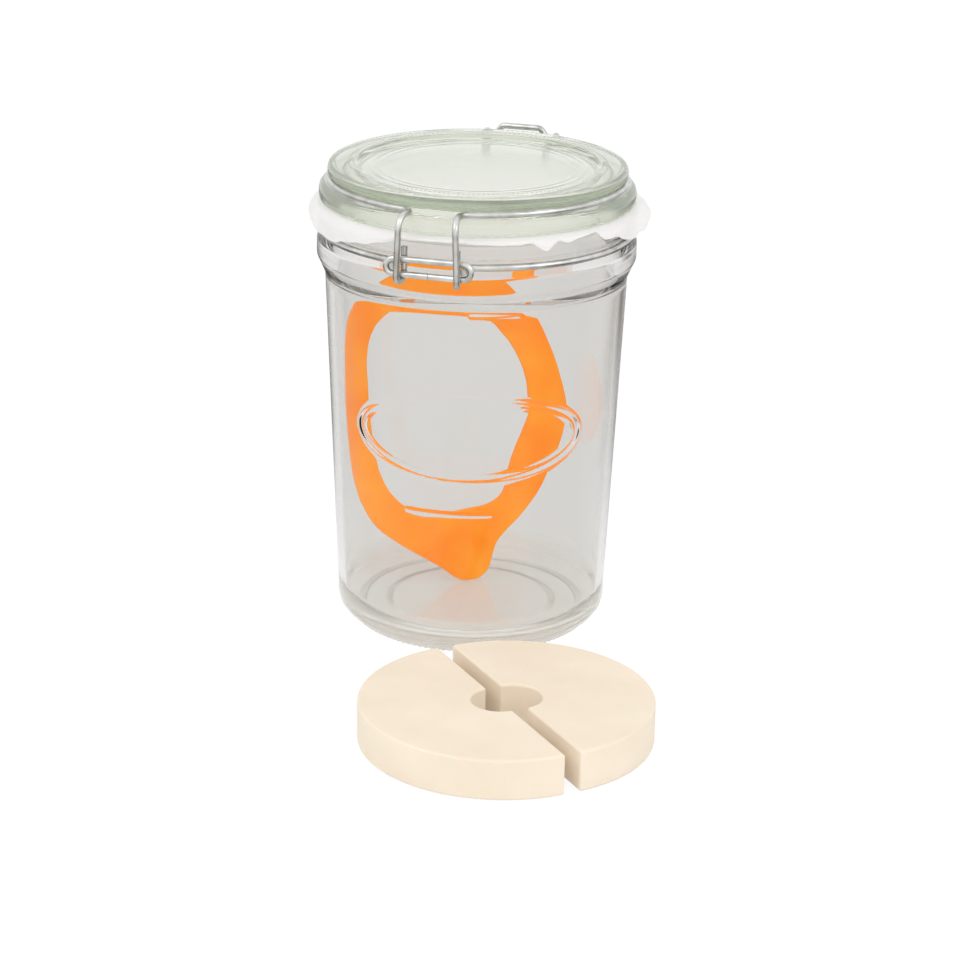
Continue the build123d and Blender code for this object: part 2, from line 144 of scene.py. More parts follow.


# %% [markdown]
# ## Glass
# Soda-lime glass has an index of about 1.5 and a faint green-grey cast that shows where
# light runs a long way through it, as in the lid's rim. Long, shallow waves from the
# mould make its reflections swim a little, and its foot is dulled, so that is rougher
# and partly matt. Each surface also tints the light that crosses it grey, most on the
# jar, and facing reflections are greyed: painted shade for the dimming a darker room
# would give. Path tracing finds few rays that light things through glass, so
# shadow and bounce rays pass straight on.

# %% Moulded soda-lime glass
GLASS_INDEX = 1.5
WAVE_SIZE = 14.0
WAVE_STRETCH = 0.35
FOOT_ROUGH, FOOT_SKIN = 0.14, 0.28
FOOT_Z = (5.0, 15.0)


def moulded_glass(name, crossing_tint_and_shade, passed, depth_tint, depth_loss, wave_depth, rough, skin):
    """Glass with waves from the mould, a dulled foot and a tint that grows with its thickness.

    crossing_tint_and_shade colours each surface, partly tint and partly painted shade; passed is the light
    that goes straight on, and skin is a matt share.
    """
    material, tree = new_material(name)
    point = add_node(tree, "ShaderNodeTexCoord").outputs["Object"]
    drawn = add_node(tree, "ShaderNodeMapping", {"Scale": (1.0, 1.0, WAVE_STRETCH)}, Vector=point)
    waves = add_node(tree, "ShaderNodeTexNoise", {"Scale": 1 / (WAVE_SIZE * MM), "Detail": 1.0}, Vector=drawn)
    bump = add_node(tree, "ShaderNodeBump", {"Strength": 1.0, "Distance": wave_depth * MM}, Height=waves)
    place = add_node(tree, "ShaderNodeSeparateXYZ", None, Vector=point)
    foot = {"From Min": FOOT_Z[0] * MM, "From Max": FOOT_Z[1] * MM}
    roughness = add_node(
        tree, "ShaderNodeMapRange", {**foot, "To Min": FOOT_ROUGH, "To Max": rough}, Value=place.outputs["Z"]
    )
    matt_share = add_node(
        tree, "ShaderNodeMapRange", {**foot, "To Min": FOOT_SKIN, "To Max": skin}, Value=place.outputs["Z"]
    )
    glass = add_node(
        tree,
        "ShaderNodeBsdfPrincipled",
        {
            # the grey colour at each surface and the grey specular tint are painted shade: they dim the glass
            # and its facing reflections as a darker room would
            "Base Color": hex_linear(crossing_tint_and_shade),
            "IOR": GLASS_INDEX,
            "Transmission Weight": 1.0,
            "Specular Tint": (0.5, 0.5, 0.5, 1.0),
        },
        Normal=bump,
        Roughness=roughness,
    )
    matt = add_node(tree, "ShaderNodeBsdfDiffuse", {"Color": hex_linear("#ECEEE8")}, Normal=bump)
    skinned = add_node(tree, "ShaderNodeMixShader", None, i0=matt_share, i1=glass, i2=matt)
    clear = add_node(tree, "ShaderNodeBsdfTransparent", {"Color": hex_linear(passed)})
    ray = add_node(tree, "ShaderNodeLightPath")
    straight_on = add_node(
        tree,
        "ShaderNodeMath",
        {"operation": "MAXIMUM"},
        i0=ray.outputs["Is Shadow Ray"],
        i1=ray.outputs["Is Diffuse Ray"],
    )
    surface = add_node(tree, "ShaderNodeMixShader", None, i0=straight_on, i1=skinned, i2=clear)
    loss = add_node(
        tree, "ShaderNodeVolumeAbsorption", {"Color": hex_linear(depth_tint), "Density": depth_loss}
    )
    add_node(tree, "ShaderNodeOutputMaterial", None, Surface=surface, Volume=loss)
    return material


# the jar's grey tint at each surface is mostly painted shade, not the glass's own colour
jar_glass_finish = moulded_glass(
    "soda_lime_glass_moulded", "#E9E8E6", "#FBFBFA", "#ABA79E", 4.0, wave_depth=0.045, rough=0.0, skin=0.0
)
lid_glass_finish = moulded_glass(
    "soda_lime_glass_pressed", "#FBFCFA", "#FAFBF8", "#8FAF5E", 10.0, wave_depth=0.01, rough=0.09, skin=0.1
)
print("glass:", jar_glass_finish.name, lid_glass_finish.name)

# %% [markdown]
# ## Turned shapes
# A jar and its lid are round, so each is one outline spun about the upright axis. The
# outline's corners are rounded by arcs, because moulded glass has no sharp edge. A
# Screw modifier or Geometry Nodes could spin it too, but the relief on the glass is a
# formula of angle and height, which is shorter to read on rings of points.

# %% Rounded outline
ARC_STEP_DEG = 24.0
STRAIGHT = 0.01
LONGEST_BACK_SHARE = 0.49


def rounded_outline(corners):
    """Points along a line of (radius, height, rounding) corners, each corner rounded by an arc."""
    pts = [Vector((c[0], c[1])) for c in corners]
    out = [pts[0]]
    for i in range(1, len(pts) - 1):
        rounding = corners[i][2]
        a, b, c = pts[i - 1], pts[i], pts[i + 1]
        u, v = (a - b).normalized(), (c - b).normalized()
        angle = math.acos(max(-1.0, min(1.0, u.dot(v))))
        if rounding <= 0 or angle > math.pi - STRAIGHT:
            out.append(b)
            continue
        longest_back = LONGEST_BACK_SHARE * min((a - b).length, (c - b).length)
        back = min(rounding / math.tan(angle / 2), longest_back)
        rounding = back * math.tan(angle / 2)
        centre = b + (u + v).normalized() * (rounding / math.sin(angle / 2))
        start, end = b + u * back - centre, b + v * back - centre
        sweep = math.pi - angle
        way = 1 if start.x * end.y - start.y * end.x > 0 else -1
        steps = max(2, round(math.degrees(sweep) / ARC_STEP_DEG))
        for k in range(steps + 1):
            t = way * sweep * k / steps
            x = start.x * math.cos(t) - start.y * math.sin(t)
            y = start.x * math.sin(t) + start.y * math.cos(t)
            out.append(centre + Vector((x, y)))
    out.append(pts[-1])
    return [(p.x, p.y) for p in out]


# %% [markdown]
# Smooth shading blends a face's tilt into its neighbour's, and through clear glass that
# shows as a dark band. So a long stretch gets a ring close to each of its ends, which
# keeps the blend short, and more rings only where the surface carries relief.

# %% Divided outline
HOLD = 0.5
LONG = 4.0


def divided(outline, step):
    """The outline with points step(r, z) apart on its long stretches, and one close to their ends."""
    out = [outline[0]]
    for near, far in zip(outline, outline[1:]):
        length = math.dist(near, far)
        gone = HOLD
        while length > LONG and gone < length:
            share = gone / length
            out.append((near[0] + (far[0] - near[0]) * share, near[1] + (far[1] - near[1]) * share))
            gone += min(step(*out[-1]), max(length - HOLD - gone, HOLD))
        out.append(far)
    return out


# %% Spin an outline
def mesh_object(name, vertices, faces):
    """A smooth-shaded mesh piece from points in millimetres."""
    mesh = bpy.data.meshes.new(name)
    mesh.from_pydata([tuple(c * MM for c in v) for v in vertices], [], faces)
    mesh.validate()
    mesh.shade_smooth()
    obj = bpy.data.objects.new(name, mesh)
    bpy.context.scene.collection.objects.link(obj)
    return obj


def spun(name, outline, angles, relief):
    """Spins an outline that starts and ends on the axis. relief(angles, r, z) moves its rings' points."""
    rings = outline[1:-1]
    columns = len(angles)
    vertices = [(0.0, 0.0, outline[0][1])]
    for r, z in rings:
        dr, dz = relief(angles, r, z)
        rr, zz = r + dr, z + dz
        vertices += list(zip(rr * np.sin(angles), -rr * np.cos(angles), zz))
    vertices.append((0.0, 0.0, outline[-1][1]))
    last = len(vertices) - 1
    faces = []
    for j in range(columns):
        n = (j + 1) % columns
        faces.append((0, 1 + n, 1 + j))
        for k in range(len(rings) - 1):
            a, b = 1 + k * columns, 1 + (k + 1) * columns
            faces.append((a + j, a + n, b + n, b + j))
        a = 1 + (len(rings) - 1) * columns
        faces.append((a + j, a + n, last))
    obj = mesh_object(name, vertices, faces)
    made = bmesh.new()
    made.from_mesh(obj.data)
    bmesh.ops.recalc_face_normals(made, faces=made.faces)
    made.to_mesh(obj.data)
    made.free()
    return obj


# %% [markdown]
# ## The jar
# One outline runs from the raised middle of the base, out over the foot, up the side
# with its bead, wire groove and collar, over the rim and down the inside. The foot is
# knurled, and the front carries a plain double oval, a short bar and a fill line, all
# raised a few tenths of a millimetre, enough to bend the light.

# %% Jar outline
JAR_OUTLINE = [
    (0.0, 2.4, 0), (28.3, 2.4, 1.2), (30.9, 0.7, 1.2), (38.4, 0.7, 0.4), (39.4, 0.45, 0.3), (42.8, 0.45, 0.8),
    (48.25, 5.2, 7.0), (48.35, 12.5, 30), (53.3, 128.6, 5.0), (56.2, 135.2, 2.2), (56.2, 141.0, 0.9),
    (53.5, 142.85, 0.6), (53.5, 146.35, 0.6), (55.8, 147.4, 0.6), (55.8, 153.6, 1.0), (54.6, 154.2, 0.5),
    (48.7, 154.2, 1.0), (48.7, 132.6, 5.0), (50.5, 127.0, 8.0), (45.5, 5.6, 8.0), (0.0, 5.6, 0),
]
# half width, half height, half width of the raised line, lift
OVALS = ((43.0, 15.5, 1.1, 0.5), (39.8, 12.8, 0.8, 0.3))
OVAL_TURN = math.radians(13.0)
OVAL_Z = 82.0
# turn from the latch, shift, height, half length, fade at the ends, half width, lift
BAR = (OVAL_TURN, -6.0, 54.5, 16.0, 2.0, 0.9, 0.3)
FILL_LINE = (0.0, 21.3, 127.0, 9.5, 1.5, 0.8, 0.35)
BAND_SPARE = 0.4
lifted = [(OVAL_Z, OVALS[0][1] + OVALS[0][2])] + [(line[2], line[5]) for line in (BAR, FILL_LINE)]
RELIEF_BANDS = [(z - half - BAND_SPARE, z + half + BAND_SPARE) for z, half in lifted]
SPLIT_R, SPLIT_SLOPE = 47.2, 0.041
FINE_ROW, COARSE_ROW = 0.55, 30.0


def on_outside(r, z):
    """True on the outer face: a sloping line runs up the middle of the jar's wall."""
    return r > SPLIT_R + SPLIT_SLOPE * z


def jar_step(r, z):
    """Fine rows where the relief is, on the outside only, and growing ones away from it."""
    gap = min(max(low - z, z - high, 0.0) for low, high in RELIEF_BANDS)
    return min(max(FINE_ROW, gap), COARSE_ROW) if on_outside(r, z) else COARSE_ROW


jar_outline = divided(rounded_outline(JAR_OUTLINE), jar_step)
print("jar outline:", len(jar_outline), "points")

# %% Jar columns
KNURLS = 120
FRONT_KNURLS = (-12, 21)
FRONT_COLUMNS, PLAIN_COLUMNS = 8, 3


def jar_columns():
    """Angles round the jar: many columns to a knurl across the front's relief, three elsewhere."""
    turns = []
    for knurl in range(KNURLS):
        in_front = (knurl - FRONT_KNURLS[0]) % KNURLS < FRONT_KNURLS[1] - FRONT_KNURLS[0]
        count = FRONT_COLUMNS if in_front else PLAIN_COLUMNS
        turns += [(knurl + share / count) * 2 * math.pi / KNURLS for share in range(count)]
    return np.array(turns)


print("jar columns:", len(jar_columns()))

# %% Jar relief
KNURL_DEPTH = 0.25
KNURL_TOP_Z = 1.0
KNURL_R = (38.6, 43.4)
RELIEF_FROM_Z = 30.0
TINY = 1e-6


def ridge(distance, half_width):
    """1 on a raised line's middle, falling smoothly to 0 at its edges."""
    return np.clip(1 - (np.abs(distance) / half_width) ** 2, 0, 1) ** 1.5


def turned_from(angles, start):
    """The signed angle from a place on the front."""
    return (angles - start + np.pi) % (2 * np.pi) - np.pi


def jar_relief(angles, r, z):
    """Knurled foot, a double oval moulding with a short bar below it, and a fill line."""
    dr, dz = 0 * angles, 0 * angles
    if z < KNURL_TOP_Z and KNURL_R[0] < r < KNURL_R[1]:
        dz = dz - KNURL_DEPTH * (0.5 + 0.5 * np.cos(KNURLS * angles))
    if z < RELIEF_FROM_Z or not on_outside(r, z):
        return dr, dz
    s, t = turned_from(angles, OVAL_TURN) * r, z - OVAL_Z
    for half_w, half_h, half_line, lift in OVALS:
        size = np.sqrt((s / half_w) ** 2 + (t / half_h) ** 2)
        slope = np.sqrt((s / half_w**2) ** 2 + (t / half_h**2) ** 2) / np.maximum(size, TINY)
        dr = dr + lift * ridge((size - 1) / np.maximum(slope, TINY), half_line)
    for start, shift, height, half, fade, half_line, lift in (BAR, FILL_LINE):
        along = turned_from(angles, start) * r - shift
        dr = dr + lift * ridge(z - height, half_line) * np.clip((half - np.abs(along)) / fade, 0, 1)
    return dr, dz


jar = spun("jar_moulding", jar_outline, jar_columns(), jar_relief)
paint(jar, jar_glass_finish)
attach(jar, "jar")
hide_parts("jar_body")
print("jar faces:", len(jar.data.polygons))

# %% [markdown]
# ## The lid
# A pressed glass disc with a thick rounded rim, a groove under it for the wire, a
# flange that seals on the jar, and a ring below that drops into the mouth. Its sunk
# middle is plain but for two faint rings, which only a grazing light shows.

# %% Lid
LID_OUTLINE = [
    (0.0, 161.0, 0), (41.7, 161.0, 1.0), (42.5, 151.3, 0.8), (46.9, 151.3, 0.8), (46.9, 154.9, 0.4),
    (55.5, 154.9, 0.8), (55.5, 160.8, 2.4), (50.5, 160.8, 0.8), (50.5, 163.95, 0.8), (52.5, 163.95, 0.7),
    (52.5, 167.3, 2.4), (43.1, 167.3, 1.4), (41.5, 165.8, 1.0), (0.0, 165.8, 0),
]
SUNK_TOP_R, SUNK_TOP_Z = 41.0, 165.5
FAINT_RINGS = ((37.4, 0.08), (34.6, 0.06))
FAINT_HALF = 1.2
LID_FINE_ROW, LID_COARSE_ROW = 0.5, 4.0
LID_COLUMNS = 288


def on_sunk_top(r, z):
    """True on the lid's sunk middle, seen from above."""
    return z > SUNK_TOP_Z and r < SUNK_TOP_R


def lid_relief(angles, r, z):
    """Two faint rings pressed into the lid's top."""
    dz = 0 * angles
    if on_sunk_top(r, z):
        for ring_r, lift in FAINT_RINGS:
            dz = dz + lift * ridge(r - ring_r, FAINT_HALF)
    return 0 * angles, dz


def lid_step(r, z):
    """Fine rings over the sunk top, coarse elsewhere."""
    return LID_FINE_ROW if on_sunk_top(r, z) else LID_COARSE_ROW


lid_columns = np.arange(LID_COLUMNS) * 2 * np.pi / LID_COLUMNS
lid = spun("lid_pressing", divided(rounded_outline(LID_OUTLINE), lid_step), lid_columns, lid_relief)
paint(lid, lid_glass_finish)
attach(lid, "lid")
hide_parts("lid")
print("lid faces:", len(lid.data.polygons))

# %% [markdown]
# ## Stippling on the lid's rim
# Pressed lids are stippled round the rim, where the two halves of the mould meet. It
# repeats, so Geometry Nodes set small domes on a circle. A dome is half a millimetre
# and has few faces, because there are hundreds of them.

# %% Stipple ring
STIPPLE_COUNT = 170
STIPPLE_Z = 167.25
STIPPLE_R = 0.5
STIPPLE_FLAT = 0.45
STIPPLE_RINGS = (("lid_stipple_outer", 50.0), ("lid_stipple_inner", 45.2))


def stipple_tree():
    """Instances a small dome along a circle, then makes them real."""
    tree = bpy.data.node_groups.new("rim_stipple", "GeometryNodeTree")
    face = tree.interface
    face.new_socket("Geometry", in_out="OUTPUT", socket_type="NodeSocketGeometry")
    sizes = (("Ring radius", STIPPLE_RINGS[0][1]), ("Height", STIPPLE_Z), ("Dome radius", STIPPLE_R))
    for label, value in sizes:
        socket = face.new_socket(label, in_out="INPUT", socket_type="NodeSocketFloat")
        socket.default_value = value * MM
    count = face.new_socket("Count", in_out="INPUT", socket_type="NodeSocketInt")
    count.default_value = STIPPLE_COUNT
    face.new_socket("Finish", in_out="INPUT", socket_type="NodeSocketMaterial")
    given = tree.nodes.new("NodeGroupInput").outputs
    ring = add_node(
        tree, "GeometryNodeMeshCircle", None, Vertices=given["Count"], Radius=given["Ring radius"]
    )
    dome = add_node(tree, "GeometryNodeMeshIcoSphere", {"Subdivisions": 1}, Radius=given["Dome radius"])
    low = add_node(tree, "GeometryNodeTransform", {"Scale": (1.0, 1.0, STIPPLE_FLAT)}, Geometry=dome)
    placed = add_node(tree, "GeometryNodeInstanceOnPoints", None, Points=ring, Instance=low)
    up = add_node(tree, "ShaderNodeCombineXYZ", None, Z=given["Height"])
    lifted_ring = add_node(tree, "GeometryNodeTransform", None, Geometry=placed, Translation=up)
    real = add_node(tree, "GeometryNodeRealizeInstances", None, Geometry=lifted_ring)
    smooth = add_node(tree, "GeometryNodeSetShadeSmooth", None, Geometry=real)
    painted = add_node(tree, "GeometryNodeSetMaterial", None, Geometry=smooth, Material=given["Finish"])
    add_node(tree, "NodeGroupOutput", None, Geometry=painted)
    return tree, {socket.name: socket.identifier for socket in face.items_tree if socket.in_out == "INPUT"}


def grown(name, tree, inputs):
    """A plain mesh piece from a Geometry Nodes tree, with its inputs set by identifier."""
    holder = bpy.data.objects.new(name + "_holder", bpy.data.meshes.new(name + "_holder"))
    bpy.context.scene.collection.objects.link(holder)
    modifier = holder.modifiers.new("grow", "NODES")
    modifier.node_group = tree
    for key, value in inputs.items():
        modifier[key] = value
    graph = bpy.context.evaluated_depsgraph_get()
    mesh = bpy.data.meshes.new_from_object(holder.evaluated_get(graph))
    bpy.data.objects.remove(holder)
    piece = bpy.data.objects.new(name, mesh)
    bpy.context.scene.collection.objects.link(piece)
    return piece


stipple_nodes, stipple_sockets = stipple_tree()
for name, radius in STIPPLE_RINGS:
    sizes = {stipple_sockets["Ring radius"]: radius * MM, stipple_sockets["Finish"]: lid_glass_finish}
    stipple = grown(name, stipple_nodes, sizes)
    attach(stipple, "lid")
    print(name, "faces:", len(stipple.data.polygons))

# %% [markdown]
# ## Zinc-plated spring wire
# Bright drawn steel under a thin zinc coat: silver-grey and a little cloudy, with
# duller patches where the coat is thicker. The coat's real grain is finer than a
# tenth of a millimetre, so it is drawn at half a millimetre to show at all. The wires
# keep the construction's own meshes, because bent wire has no other shape to give.

# %% Wire finish
WIRE_TONES = ((0.3, hex_linear("#B4B4B1")), (0.7, hex_linear("#E2E2E0")))
WIRE_CLOUD, WIRE_GRAIN, WIRE_GRAIN_DEPTH = 6.0, 0.5, 0.03


def zinc_wire():
    """Metal with cloudy roughness and a very light grain."""
    material, tree = new_material("zinc_plated_spring_wire")
    point = add_node(tree, "ShaderNodeTexCoord").outputs["Object"]
    cloud = add_node(
        tree, "ShaderNodeTexNoise", {"Scale": 1 / (WIRE_CLOUD * MM), "Detail": 4.0}, Vector=point
    )
    tone = add_node(tree, "ShaderNodeValToRGB", None, Fac=cloud)
    set_tones(tone, WIRE_TONES)
    rough = add_node(tree, "ShaderNodeMapRange", {"To Min": 0.2, "To Max": 0.42}, Value=cloud)
    grain = add_node(
        tree, "ShaderNodeTexNoise", {"Scale": 1 / (WIRE_GRAIN * MM), "Detail": 2.0}, Vector=point
    )
    bump = add_node(
        tree, "ShaderNodeBump", {"Strength": 0.35, "Distance": WIRE_GRAIN_DEPTH * MM}, Height=grain
    )
    metal = add_node(
        tree,
        "ShaderNodeBsdfPrincipled",
        {"Metallic": 1.0},
        Base_Color=tone,
        Roughness=rough,
        Normal=bump,
    )
    add_node(tree, "ShaderNodeOutputMaterial", None, Surface=metal)
    return material


wire_finish = zinc_wire()
wires = ("neck_wire", "lid_wire", "hook_left", "hook_right", "latch_link")
for name in wires:
    paint(nodes[name], wire_finish)
print("wires painted:", len(wires))

# %% [markdown]
# ## The rubber ring
# Natural rubber, stamped flat and about 3 mm thick, with a pull tab. It stands in the
# jar and leans on the glass, a little out of round. A filled curve with a small bevel
# gives it both its free outline and the soft edges that a stamp leaves.

# %% Rubber ring outlines
SEAL_THICK = 3.0
SEAL_ROUND = 0.7
SEAL_SIZE = 50.0
SEAL_CURVE_STEPS, SEAL_EDGE_STEPS = 12, 3
# both outlines, along and up the rubber's own flat, as shares of SEAL_SIZE
SEAL_OUTER_SHARE = [
    (0.16, 0.002), (0.22, 0.006), (0.262, 0.03), (0.302, 0.074), (0.33, 0.16), (0.372, 0.274),
    (0.45, 0.362), (0.54, 0.444), (0.624, 0.534), (0.708, 0.648), (0.79, 0.8), (0.862, 0.96),
    (0.91, 1.12), (0.924, 1.26), (0.908, 1.38), (0.882, 1.49), (0.84, 1.62), (0.774, 1.78),
    (0.69, 1.95), (0.55, 2.14), (0.36, 2.3), (0.14, 2.394), (-0.08, 2.41), (-0.34, 2.366),
    (-0.6, 2.236), (-0.73, 2.08), (-0.77, 1.9), (-0.778, 1.72), (-0.778, 1.52), (-0.77, 1.32),
    (-0.756, 1.14), (-0.736, 0.96), (-0.696, 0.76), (-0.64, 0.612), (-0.56, 0.48), (-0.44, 0.372),
    (-0.28, 0.26), (-0.14, 0.168), (-0.034, 0.096), (0.04, 0.034), (0.1, 0.006),
]
SEAL_INNER_SHARE = [
    (-0.08, 0.528), (0.16, 0.544), (0.33, 0.572), (0.42, 0.64), (0.456, 0.772), (0.512, 0.94),
    (0.592, 1.12), (0.636, 1.24), (0.628, 1.36), (0.612, 1.49), (0.54, 1.68), (0.43, 1.86),
    (0.34, 1.99), (0.16, 2.096), (-0.08, 2.136), (-0.32, 2.116), (-0.48, 2.04), (-0.568, 1.93),
    (-0.608, 1.76), (-0.604, 1.56), (-0.596, 1.36), (-0.576, 1.16), (-0.552, 1), (-0.508, 0.85),
    (-0.416, 0.69), (-0.272, 0.572),
]


def closed_bezier(curve, shares, inset):
    """A smooth closed spline through an outline's points, pulled in by inset towards the rubber."""
    points = [(SEAL_SIZE * x, SEAL_SIZE * y) for x, y in shares]
    spline = curve.splines.new("BEZIER")
    spline.bezier_points.add(len(points) - 1)
    for i, (x, y) in enumerate(points):
        after, before = Vector(points[(i + 1) % len(points)]), Vector(points[i - 1])
        along = (after - before).normalized()
        side = Vector((-along.y, along.x)) * inset
        point = spline.bezier_points[i]
        point.co = ((x + side.x) * MM, (y + side.y) * MM, 0)
        point.handle_left_type = point.handle_right_type = "AUTO"
    spline.use_cyclic_u = True
    spline.resolution_u = SEAL_CURVE_STEPS


outline = bpy.data.curves.new("seal_outline", "CURVE")
outline.dimensions = "2D"
outline.fill_mode = "BOTH"
closed_bezier(outline, SEAL_OUTER_SHARE, SEAL_ROUND)
closed_bezier(outline, SEAL_INNER_SHARE, -SEAL_ROUND)
outline.extrude = (SEAL_THICK / 2 - SEAL_ROUND) * MM
outline.bevel_depth = SEAL_ROUND * MM
outline.bevel_resolution = SEAL_EDGE_STEPS
flat = bpy.data.objects.new("seal_outline", outline)
bpy.context.scene.collection.objects.link(flat)
seal_mesh = bpy.data.meshes.new_from_object(flat.evaluated_get(bpy.context.evaluated_depsgraph_get()))
bpy.data.objects.remove(flat)
print("rubber ring outlines:", len(SEAL_OUTER_SHARE), "and", len(SEAL_INNER_SHARE), "points")

# %% Stand the rubber ring in the jar
SEAL_TURN = math.radians(33.2)
SEAL_LEAN = math.radians(4.5)
SEAL_FOOT_SHARE = (-0.215, 0.1632)
JAR_FLOOR_Z = JAR_OUTLINE[-1][1]
SEAL_REST = 0.1
WELD = 0.01
SHARP = math.radians(40)

along_seal = Vector((math.cos(SEAL_TURN), math.sin(SEAL_TURN), 0))
back_seal = Vector((-math.sin(SEAL_TURN), math.cos(SEAL_TURN), 0))
up_seal = back_seal * math.sin(SEAL_LEAN) + Vector((0, 0, 1)) * math.cos(SEAL_LEAN)
out_seal = along_seal.cross(up_seal)
stand = Matrix((along_seal, up_seal, out_seal)).transposed().to_4x4()
foot_x, foot_y = (share * SEAL_SIZE for share in SEAL_FOOT_SHARE)
foot_z = JAR_FLOOR_Z + SEAL_REST + SEAL_THICK / 2 * math.sin(SEAL_LEAN)
seal_mesh.transform(Matrix.Translation(Vector((foot_x, foot_y, foot_z)) * MM) @ stand)
seal = bpy.data.objects.new("rubber_ring", seal_mesh)
bpy.context.scene.collection.objects.link(seal)
welded = bmesh.new()
welded.from_mesh(seal_mesh)
bmesh.ops.remove_doubles(welded, verts=welded.verts, dist=WELD * MM)
bmesh.ops.recalc_face_normals(welded, faces=welded.faces)
welded.to_mesh(seal_mesh)
welded.free()
seal_mesh.shade_smooth()
seal_mesh.set_sharp_from_angle(angle=SHARP)
print("rubber ring faces:", len(seal_mesh.polygons))

# %% [markdown]
# Dyed rubber has a saturated colour with faint clouds and a satin gloss. It is also
# given a weak emission of its own colour, a painted glow that brightens it where it
# stands behind the glass. Its tooth is drawn at 0.7 mm, coarser than the real one, so that it shows.

# %% Rubber finish
RUBBER_TONES = ((0.35, hex_linear("#FF8802")), (0.7, hex_linear("#FF9D12")))
RUBBER_CLOUD, RUBBER_TOOTH, RUBBER_TOOTH_DEPTH = 18.0, 0.7, 0.06


def natural_rubber():
    """Dyed rubber: saturated, with a painted glow, satin, with a fine tooth."""
    material, tree = new_material("dyed_natural_rubber")
    point = add_node(tree, "ShaderNodeTexCoord").outputs["Object"]
    cloud = add_node(
        tree, "ShaderNodeTexNoise", {"Scale": 1 / (RUBBER_CLOUD * MM), "Detail": 3.0}, Vector=point
    )
    tone = add_node(tree, "ShaderNodeValToRGB", None, Fac=cloud)
    set_tones(tone, RUBBER_TONES)
    tooth = add_node(
        tree, "ShaderNodeTexNoise", {"Scale": 1 / (RUBBER_TOOTH * MM), "Detail": 2.0}, Vector=point
    )
    bump = add_node(
        tree, "ShaderNodeBump", {"Strength": 0.3, "Distance": RUBBER_TOOTH_DEPTH * MM}, Height=tooth
    )
    rubber = add_node(
        tree,
        "ShaderNodeBsdfPrincipled",
        # the emission is a painted glow that lifts the rubber behind the glass
        {"Roughness": 0.5, "Specular IOR Level": 0.25, "Emission Strength": 0.27, "IOR": 1.5},
        Base_Color=tone,
        Emission_Color=tone,
        Normal=bump,
    )
    add_node(tree, "ShaderNodeOutputMaterial", None, Surface=rubber)
    return material


paint(seal, natural_rubber())
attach(seal, "jar")
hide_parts("gasket")
print("rubber ring done")

# %% [markdown]
# ## The cover sheet
# A thin white sheet lies across the mouth. The lid tucks its middle down and grips it on
# the rim, and its loose edge sticks out round the neck: smooth on the left, torn and
# creased on the right. It is stiff and short, so it is shaped and not simulated. Rings
# of points run from its middle out to the measured hem, and seeded waves crease them.

# %% Cover sheet hem
# degrees round from the latch, radius and height of the hem
HEM = [
    (-172, 56.5, 153.6), (-158, 56.5, 153.6), (-148, 57.4, 151.5), (-136, 58.6, 149.6), (-124, 57.8, 148.6),
    (-112, 58.9, 147.6), (-100, 58.1, 148.2), (-88, 59.0, 147.4), (-76, 59.4, 146.6), (-66, 58.5, 146.9),
    (-57, 58.9, 146.4), (-48, 58.1, 146.3), (-40, 58.7, 146.4), (-33, 58.0, 148.2), (-24, 58.4, 149.4),
    (-16, 58.0, 151.6), (-9, 57.5, 153.2), (0, 57.5, 153.3), (9, 57.5, 153.3), (15, 57.9, 153.2),
    (24, 58.2, 153.0), (33, 58.0, 152.6), (39, 58.8, 151.6), (44, 58.2, 153.0), (52, 58.9, 153.2),
    (60, 58.4, 153.3), (67, 59.8, 150.6), (76, 59.2, 148.8), (86, 60.6, 147.4), (96, 60.2, 148.0),
    (105, 61.0, 148.8), (114, 59.4, 149.6), (123, 60.0, 149.0), (132, 58.6, 150.2), (141, 58.8, 151.0),
    (149, 57.4, 153.0), (158, 56.5, 153.6), (172, 56.5, 153.6),
]
SHEET_COLUMNS = 720
HEM_R_SMOOTH, HEM_Z_SMOOTH = 9, 5
CREASE_SEED = 7

round_deg = -180 + 360 * np.arange(SHEET_COLUMNS) / SHEET_COLUMNS
theta = np.radians(round_deg)


def around(values, smooth):
    """Values given at the hem's angles, joined all the way round and smoothed over some columns."""
    angles = np.array([h[0] for h in HEM], float)
    wide = np.concatenate([angles - 360, angles, angles + 360])
    line = np.interp(round_deg, wide, np.tile(np.array(values, float), 3))
    kernel = np.hanning(smooth)
    return np.convolve(np.tile(line, 3), kernel / kernel.sum(), "same")[SHEET_COLUMNS : 2 * SHEET_COLUMNS]


def ripples(low, high, count, height):
    """A sum of seeded waves round the sheet, with low to high of them to a turn."""
    waves = zip(rng.integers(low, high, count), rng.uniform(0.3, 1.0, count), rng.uniform(0, 6.28, count))
    return height / count**0.5 * sum(size * np.sin(turns * theta + phase) for turns, size, phase in waves)


hem_r = around([h[1] for h in HEM], HEM_R_SMOOTH)
hem_z = around([h[2] for h in HEM], HEM_Z_SMOOTH)
rng = np.random.default_rng(CREASE_SEED)
soft_fold, crease, torn = ripples(7, 22, 6, 0.6), ripples(20, 44, 8, 0.6), ripples(12, 52, 9, 1.5)
print("hem from", round(hem_z.min(), 1), "to", round(hem_z.max(), 1), "mm high")

# %% Cover sheet rows
TUCK_R, TUCK_Z = 47.75, 150.45
WALL_FLARE = 0.1
SHEET_TOP_Z = 154.55
SHEET_EDGE_R = 55.95
ROWS_MIDDLE, ROWS_WALL, ROWS_FLAT, ROWS_HANG = 16, 4, 4, 12
WRINKLE = 0.25
# the torn side's start and end in degrees, the fade at both, and how much the rest is creased
TORN_FROM, TORN_TO, TORN_FADE, TORN_LEAST = 25, 150, 20, 0.15
# where down the skirt it is widest, how much it turns in below that, and how late it falls
WIDEST_SHARE, TURN_IN, FALL = 0.7, 0.18, 1.25
EDGE_SPARE = 0.1

